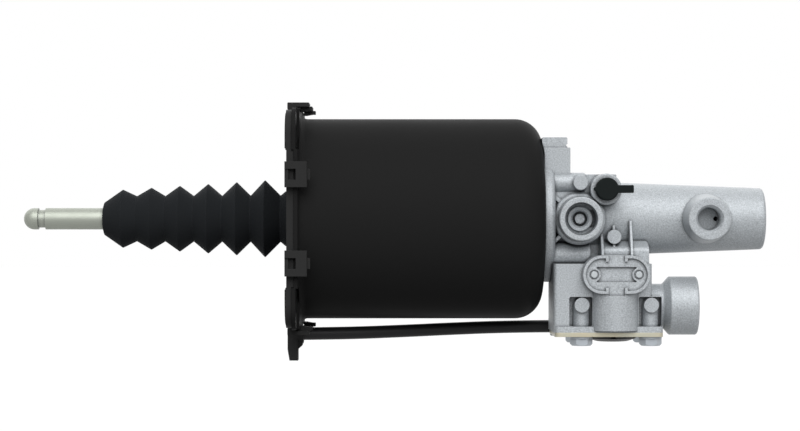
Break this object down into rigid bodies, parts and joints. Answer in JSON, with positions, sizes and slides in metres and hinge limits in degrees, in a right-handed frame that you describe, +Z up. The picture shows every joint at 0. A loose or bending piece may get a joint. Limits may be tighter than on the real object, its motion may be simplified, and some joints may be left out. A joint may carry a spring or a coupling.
{
  "type": "clutch servo",
  "caption": "Air-assisted hydraulic clutch servo: a booted pushrod on an air piston, with a fluid plunger and a relay valve in a cast housing.",
  "frame": {"origin": "Centre of the four mounting pads' faces, on the axis of the pushrod.", "axes": "+X from the mounting face along the cylinder to the hydraulic end, so the pushrod points to -X. +Z up, with the vent spout and the relay valve below. The fluid port, the ring boss and the bleed cap face -Y."},
  "size_m": [0.3855, 0.1188, 0.1332],
  "materials": {
    "pot_paint": "black satin paint on drawn steel",
    "cover_plastic": "black glass-filled moulding",
    "boot_rubber": "matte black rubber",
    "gasket_sheet": "sheet gasket",
    "zinc_steel": "clear zinc plate",
    "cast_aluminium": "die cast, fine shot-blasted skin",
    "spring_steel": "phosphated spring steel",
    "seal_plastic": "natural bearing plastic",
    "seal_rubber": "nitrile rubber",
    "pin_aluminium": "plain aluminium pin",
    "cap_rubber": "matte black rubber",
    "yellow_zinc": "yellow passivated zinc plate",
    "vent_plastic": "black moulded plastic",
    "hose_rubber": "smooth black hose",
    "rod_steel": "turned and zinc plated",
    "machined_aluminium": "turned aluminium",
    "chromed_steel": "hard chrome, ground",
    "valve_brass": "turned brass"
  },
  "bodies": {
    "servo_body": {"cylinder_pot": "pot_paint", "end_cover": "cover_plastic", "boot": "boot_rubber", "seat_gasket": "gasket_sheet", "seat_screws": "zinc_steel", "valve_housing": "cast_aluminium", "retaining_ring": "spring_steel", "backing_ring": "seal_plastic", "plunger_seal": "seal_rubber", "plunger_guide": "seal_plastic", "piston_spring": "spring_steel", "pad_pins": "pin_aluminium", "bleed_screw": "zinc_steel", "bleed_cap": "cap_rubber", "bottom_plate": "yellow_zinc", "plate_washers": "zinc_steel", "plate_bolts": "zinc_steel", "vent_cap": "vent_plastic", "breather_hose": "hose_rubber", "valve_carrier": "seal_plastic", "control_spring": "spring_steel", "inlet_spring": "spring_steel"},
    "rod_and_piston": {"pushrod": "rod_steel", "rod_retainer": "spring_steel", "air_piston": "machined_aluminium", "piston_seal": "seal_rubber", "guide_band": "seal_plastic", "plunger": "chromed_steel"},
    "control_piston": {"control_piston": "machined_aluminium", "control_rings": "seal_rubber"},
    "inlet_valve": {"inlet_valve": "valve_brass"}
  },
  "joints": [
    {"name": "pushrod_slide", "type": "slide", "parent": "servo_body", "child": "rod_and_piston", "axis": [1, 0, 0], "range_m": [0, 0.06], "stiffness_N_per_m": 600, "springref_m": -0.15, "deforming": ["boot", "piston_spring"]},
    {"name": "control_slide", "type": "slide", "parent": "servo_body", "child": "control_piston", "axis": [0, 0, -1], "range_m": [0, 0.0022], "stiffness_N_per_m": 1500, "springref_m": -0.002, "deforming": ["control_spring"]},
    {"name": "inlet_slide", "type": "slide", "parent": "servo_body", "child": "inlet_valve", "axis": [0, 0, -1], "range_m": [0, 0.0022], "stiffness_N_per_m": 800, "springref_m": -0.002, "deforming": ["inlet_spring"]}
  ],
  "couplings": [
    {"joint": "inlet_slide", "follows": "control_slide", "ratio": 1}
  ]
}
